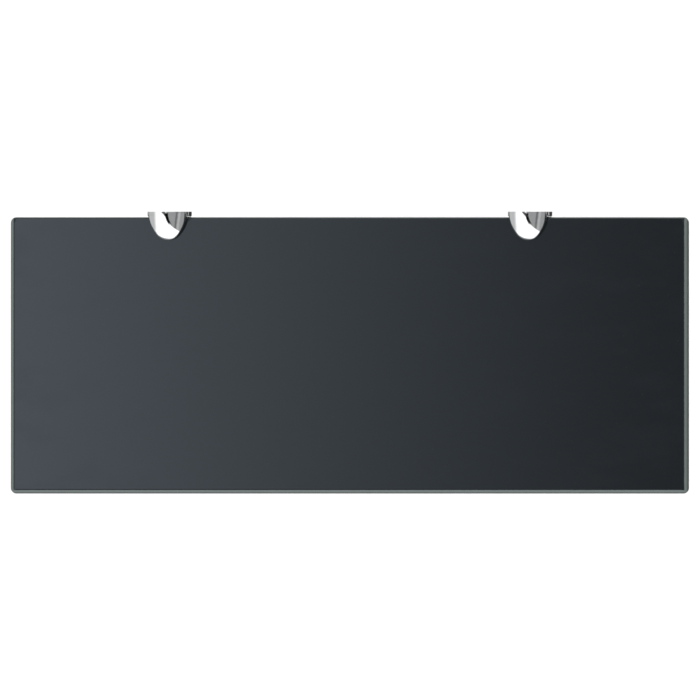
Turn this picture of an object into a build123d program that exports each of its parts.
from build123d import *
import math
import os

# Black glass wall shelf held by two chromed beak clamps.
#
# A toughened glass panel with pencil-rounded edges sits in the mouths of two small
# die-cast clamps.  Each clamp has a fixed body (wall plate, upper jaw and threaded boss)
# and a lower jaw that a screw from underneath draws up against the glass.  A soft pad in
# each jaw keeps metal and glass apart.
#
# Frame, in millimetres: the wall is the plane y = 0 and the shelf stands out from it
# towards -Y.  +Z is up, and z = 0 is both the middle of the glass and the height of the
# two wall-screw holes.  x = 0 is the middle of the shelf.

# ---------------------------------------------------------------- glass panel
shelf_width = 500.0
shelf_depth = 200.0
glass_thickness = 8.0
glass_edge_round = 3.2  # pencil-rounded rim, seen from above
glass_corner_radius = 4.0  # blunted corners, seen from above

# ---------------------------------------------------------------- placing
bracket_spacing = 266.0  # middle to middle
wall_gap = 4.0  # from the wall to the back edge of the glass

# ---------------------------------------------------------------- wall plate of a clamp
plate_thickness = 3.4
plate_lip = 1.4  # the plate stands this far outside the jaws
plate_ear_height = 3.5  # top of the plate above the glass
plate_shoulder_radius = 3.0  # its upper corners, seen from the front
plate_edge_fillet = 0.7
wall_hole_radius = 2.25  # for a 4 mm countersunk wall screw
wall_countersink_radius = 4.2

# ---------------------------------------------------------------- jaws
jaw_width = 28.0  # at the wall
nose_radius = 10.0
upper_jaw_reach = 20.6  # from the wall to the tip
upper_jaw_rise = 11.0  # top of the crown above the glass
upper_side_edge = 6.5  # where the crown meets the side wall, above the glass
upper_tip_edge = 3.6  # where the crown meets the nose, above the glass
upper_crown_semi_axis = 13.0  # vertical semi-axis of the crown's ellipsoid
upper_crown_fillet = 2.0
lower_jaw_reach = 24.0
lower_jaw_drop = 23.0  # lowest point of the jaw below the glass
lower_side_edge = 7.0
lower_tip_edge = 4.5
lower_crown_semi_axis = 28.0
lower_crown_fillet = 3.0
jaw_rim_fillet = 0.5
jaw_back_clearance = 0.2  # between the lower jaw and the wall plate

# ---------------------------------------------------------------- pads
pad_thickness = 1.2
pad_recess = 0.5  # depth of the pocket that holds the pad
pad_inset = 1.0  # pad edge inside the jaw's outline
pad_set_in = 1.6  # back edge of the pads, from the back edge of the glass
pad_slot_margin = 1.3  # pad edge outside the boss slot

# ---------------------------------------------------------------- clamp screw, M5 button head
screw_radius = 2.5
screw_length = 12.0
screw_reach = 10.0  # screw axis, from the wall
screw_head_radius = 4.75
screw_head_height = 2.75
screw_head_rim = 0.6  # straight part of the head above its dome
hex_across_flats = 3.0
hex_depth = 1.6
screw_tip_chamfer = 0.6
thread_clearance = 0.05  # plain shank in plain bore, in place of the thread
shank_clearance = 0.25
head_clearance = 0.3

# ---------------------------------------------------------------- boss and its slot
boss_width = 11.0
boss_top_gap = 3.5  # boss below the glass
boss_height = 6.5
boss_slot_clearance = 0.3
boss_floor_gap = 3.5  # room to clamp a thinner glass
seat_thickness = 2.5  # jaw floor between the boss slot and the screw head

# ---------------------------------------------------------------- worked out
glass_top = glass_thickness / 2
pad_proud = pad_thickness - pad_recess
pad_back = wall_gap + pad_set_in
upper_seat = glass_top + pad_proud
lower_seat = -upper_seat
plate_width = jaw_width + 2 * plate_lip
plate_top = glass_top + plate_ear_height
boss_top = -glass_top - boss_top_gap
boss_bottom = boss_top - boss_height
slot_floor = boss_bottom - boss_floor_gap
head_seat = slot_floor - seat_thickness
jaw_back = plate_thickness + jaw_back_clearance
slot_width = boss_width + 2 * boss_slot_clearance
beyond = 2 * max(lower_jaw_drop, upper_jaw_rise, lower_jaw_reach)  # past every face
hair = 0.01  # for telling the edges on a plane from the others

os.makedirs("parts", exist_ok=True)


def side_arc(reach):
    """Radius and middle of the arc along a jaw's side, and where it runs into the nose.

    The arc leaves the wall square and touches the nose's arc, so its radius follows from
    the jaw's width, its reach and the nose.
    """
    half = jaw_width / 2
    nose_middle = reach - nose_radius
    radius = (half**2 + nose_middle**2 - nose_radius**2) / (jaw_width - 2 * nose_radius)
    middle = half - radius
    apart = math.hypot(middle, nose_middle)
    joint_x = -nose_radius * middle / apart
    joint_y = -nose_middle * (1 + nose_radius / apart)
    return radius, middle, joint_x, joint_y


def jaw_outline(reach, inset=0.0):
    """The plan of a jaw: square to the wall, a swelling side, a round nose."""
    half = jaw_width / 2
    radius, middle, joint_x, joint_y = side_arc(reach)
    turn = math.atan2(joint_y, joint_x - middle) / 2
    swell_x = middle + radius * math.cos(turn)
    swell_y = radius * math.sin(turn)
    with BuildSketch() as outline:
        with BuildLine():
            ThreePointArc((half, 0), (swell_x, swell_y), (joint_x, joint_y))
            ThreePointArc((joint_x, joint_y), (0, -reach), (-joint_x, joint_y))
            ThreePointArc((-joint_x, joint_y), (-swell_x, swell_y), (-half, 0))
            Line((-half, 0), (half, 0))
        make_face()
        if inset:
            offset(amount=-inset)
    return outline.sketch


def crown_axes(reach, semi_axis, middle, side_edge, tip_edge):
    """Semi-axes of a crown's ellipsoid, across the jaw and along it.

    It passes through the side edge at the wall, and through the tip edge at the tip or
    at the shoulders of the nose, whichever asks for the longer jaw.
    """
    joint_x, joint_y = side_arc(reach)[2:]
    across = jaw_width / 2 / math.sqrt(1 - ((side_edge - middle) / semi_axis) ** 2)
    left = 1 - ((tip_edge - middle) / semi_axis) ** 2
    at_tip = reach / math.sqrt(left)
    at_shoulder = -joint_y / math.sqrt(left - (joint_x / across) ** 2)
    return across, max(at_tip, at_shoulder)


upper_middle = glass_top + upper_jaw_rise - upper_crown_semi_axis
upper_across, upper_along = crown_axes(
    upper_jaw_reach,
    upper_crown_semi_axis,
    upper_middle,
    glass_top + upper_side_edge,
    glass_top + upper_tip_edge,
)
lower_middle = -glass_top - lower_jaw_drop + lower_crown_semi_axis
lower_across, lower_along = crown_axes(
    lower_jaw_reach,
    lower_crown_semi_axis,
    lower_middle,
    -glass_top - lower_side_edge,
    -glass_top - lower_tip_edge,
)


def ellipsoid(across, along, upright, middle, pole_turn):
    """A solid ellipsoid on the wall plane, with its poles out of the way, along X."""
    with BuildPart() as solid:
        Sphere(radius=1, rotation=(0, pole_turn, 0))
        scale(by=(across, along, upright))
    return solid.part.moved(Location((0, 0, middle)))


def boss_outline(width):
    """Plan of the boss, or of the slot it stands in: straight sides, round front."""
    with BuildSketch() as outline:
        with Locations((0, -screw_reach)):
            Circle(width / 2)
        with Locations((0, -screw_reach / 2)):
            Rectangle(width, screw_reach)
    return outline.sketch


def behind(y):
    """A sketch that covers everything from the wall out to y, to be cut away."""
    with BuildSketch() as cover:
        with Locations((0, -y)):
            Rectangle(beyond, beyond, align=(Align.CENTER, Align.MIN))
    return cover.sketch


# ---------------------------------------------------------------- glass
with BuildPart() as glass:
    with BuildSketch(Plane.XY.offset(-glass_top)):
        with Locations((0, -wall_gap - shelf_depth / 2)):
            RectangleRounded(shelf_width, shelf_depth, glass_corner_radius)
    extrude(amount=glass_thickness)
    rims = glass.faces().filter_by(Axis.Z).edges()
    fillet(rims, radius=glass_edge_round)
glass.part.label = "glass_shelf"
export_step(glass.part, "parts/glass_shelf.step")

# ---------------------------------------------------------------- fixed body of a clamp
with BuildPart() as upper_jaw:
    with BuildSketch(Plane.XY.offset(upper_seat)):
        add(jaw_outline(upper_jaw_reach))
    extrude(amount=beyond)
    add(
        ellipsoid(upper_across, upper_along, upper_crown_semi_axis, upper_middle, 90),
        mode=Mode.INTERSECT,
    )
    brow = upper_jaw.faces().sort_by(Axis.Z)[-1].edges()
    fillet(brow.filter_by(lambda edge: edge.center().Y < -hair), radius=upper_crown_fillet)
    rim = upper_jaw.faces().sort_by(Axis.Z)[0].edges()
    fillet(rim.filter_by(lambda edge: edge.center().Y < -hair), radius=jaw_rim_fillet)

with BuildPart() as body:
    with BuildSketch(Plane.XZ) as plate:
        with Locations((0, lower_middle)):
            Ellipse(plate_width / 2, lower_crown_semi_axis + plate_lip)
            Rectangle(plate_width, beyond, align=(Align.CENTER, Align.MAX), mode=Mode.INTERSECT)
            Rectangle(plate_width, plate_top - lower_middle, align=(Align.CENTER, Align.MIN))
        fillet(plate.vertices().group_by(Axis.Z)[-1], radius=plate_shoulder_radius)
    extrude(amount=plate_thickness)
    front = body.faces().sort_by(Axis.Y)[0]
    fillet(front.edges(), radius=plate_edge_fillet)
    with BuildSketch(Plane.XY.offset(boss_bottom)):
        add(boss_outline(boss_width))
    extrude(amount=boss_height)
    add(upper_jaw.part)
    with BuildSketch(Plane.XY.offset(upper_seat)):
        add(jaw_outline(upper_jaw_reach, pad_inset))
        add(behind(pad_back), mode=Mode.SUBTRACT)
    extrude(amount=pad_recess, mode=Mode.SUBTRACT)
    with Locations((0, -screw_reach, boss_top)):
        Hole(screw_radius + thread_clearance, depth=boss_height)
    with Locations(Plane(origin=(0, -plate_thickness, 0), z_dir=(0, -1, 0))):
        CounterSinkHole(
            wall_hole_radius,
            counter_sink_radius=wall_countersink_radius,
            depth=plate_thickness,
        )

# ---------------------------------------------------------------- lower jaw
with BuildPart() as jaw:
    with BuildSketch(Plane.XY.offset(lower_seat)):
        add(jaw_outline(lower_jaw_reach))
        add(behind(jaw_back), mode=Mode.SUBTRACT)
    extrude(amount=-beyond)
    add(
        ellipsoid(lower_across, lower_along, lower_crown_semi_axis, lower_middle, -90),
        mode=Mode.INTERSECT,
    )
    chin = jaw.faces().sort_by(Axis.Z)[0].edges()
    fillet(chin.filter_by(lambda edge: edge.center().Y < -jaw_back - hair), radius=lower_crown_fillet)
    rim = jaw.faces().sort_by(Axis.Z)[-1].edges()
    fillet(rim.filter_by(lambda edge: edge.center().Y < -jaw_back - hair), radius=jaw_rim_fillet)
    with BuildSketch(Plane.XY.offset(lower_seat)):
        add(jaw_outline(lower_jaw_reach, pad_inset))
        add(behind(pad_back), mode=Mode.SUBTRACT)
    extrude(amount=-pad_recess, mode=Mode.SUBTRACT)
    with BuildSketch(Plane.XY.offset(slot_floor)):
        add(boss_outline(slot_width))
    extrude(amount=beyond, mode=Mode.SUBTRACT)
    with Locations((0, -screw_reach, slot_floor)):
        Hole(screw_radius + shank_clearance, depth=beyond)
    with BuildSketch(Plane.XY.offset(head_seat)):
        with Locations((0, -screw_reach)):
            Circle(screw_head_radius + head_clearance)
    extrude(amount=-beyond, mode=Mode.SUBTRACT)

# ---------------------------------------------------------------- clamp screw
with BuildPart() as screw:
    with BuildSketch(Plane.XY.offset(head_seat)):
        with Locations((0, -screw_reach)):
            Circle(screw_radius)
    extrude(amount=screw_length)
    tip = screw.faces().sort_by(Axis.Z)[-1].edges()
    chamfer(tip, length=screw_tip_chamfer)
    with BuildSketch(Plane.XY.offset(head_seat)):
        with Locations((0, -screw_reach)):
            Circle(screw_head_radius)
    extrude(amount=-screw_head_height)
    crown = screw.faces().sort_by(Axis.Z)[0].edges()
    fillet(crown, radius=screw_head_height - screw_head_rim)
    with BuildSketch(Plane.XY.offset(head_seat - screw_head_height)):
        with Locations((0, -screw_reach)):
            RegularPolygon(hex_across_flats / 2, 6, major_radius=False)
    extrude(amount=hex_depth, mode=Mode.SUBTRACT)

# ---------------------------------------------------------------- pads
with BuildPart() as upper_pad:
    with BuildSketch(Plane.XY.offset(glass_top)):
        add(jaw_outline(upper_jaw_reach, pad_inset))
        add(behind(pad_back), mode=Mode.SUBTRACT)
    extrude(amount=pad_thickness)

with BuildPart() as lower_pad:
    with BuildSketch(Plane.XY.offset(-glass_top)):
        add(jaw_outline(lower_jaw_reach, pad_inset))
        add(behind(pad_back), mode=Mode.SUBTRACT)
        add(boss_outline(slot_width + 2 * pad_slot_margin), mode=Mode.SUBTRACT)
    extrude(amount=-pad_thickness)

# ---------------------------------------------------------------- two clamps
pieces = {
    "bracket_body": body.part,
    "lower_jaw": jaw.part,
    "clamp_screw": screw.part,
    "upper_pad": upper_pad.part,
    "lower_pad": lower_pad.part,
}
for side, place in (("left", -bracket_spacing / 2), ("right", bracket_spacing / 2)):
    for name, piece in pieces.items():
        placed = piece.moved(Location((place, 0, 0)))
        placed.label = f"{name}_{side}"
        export_step(placed, f"parts/{placed.label}.step")
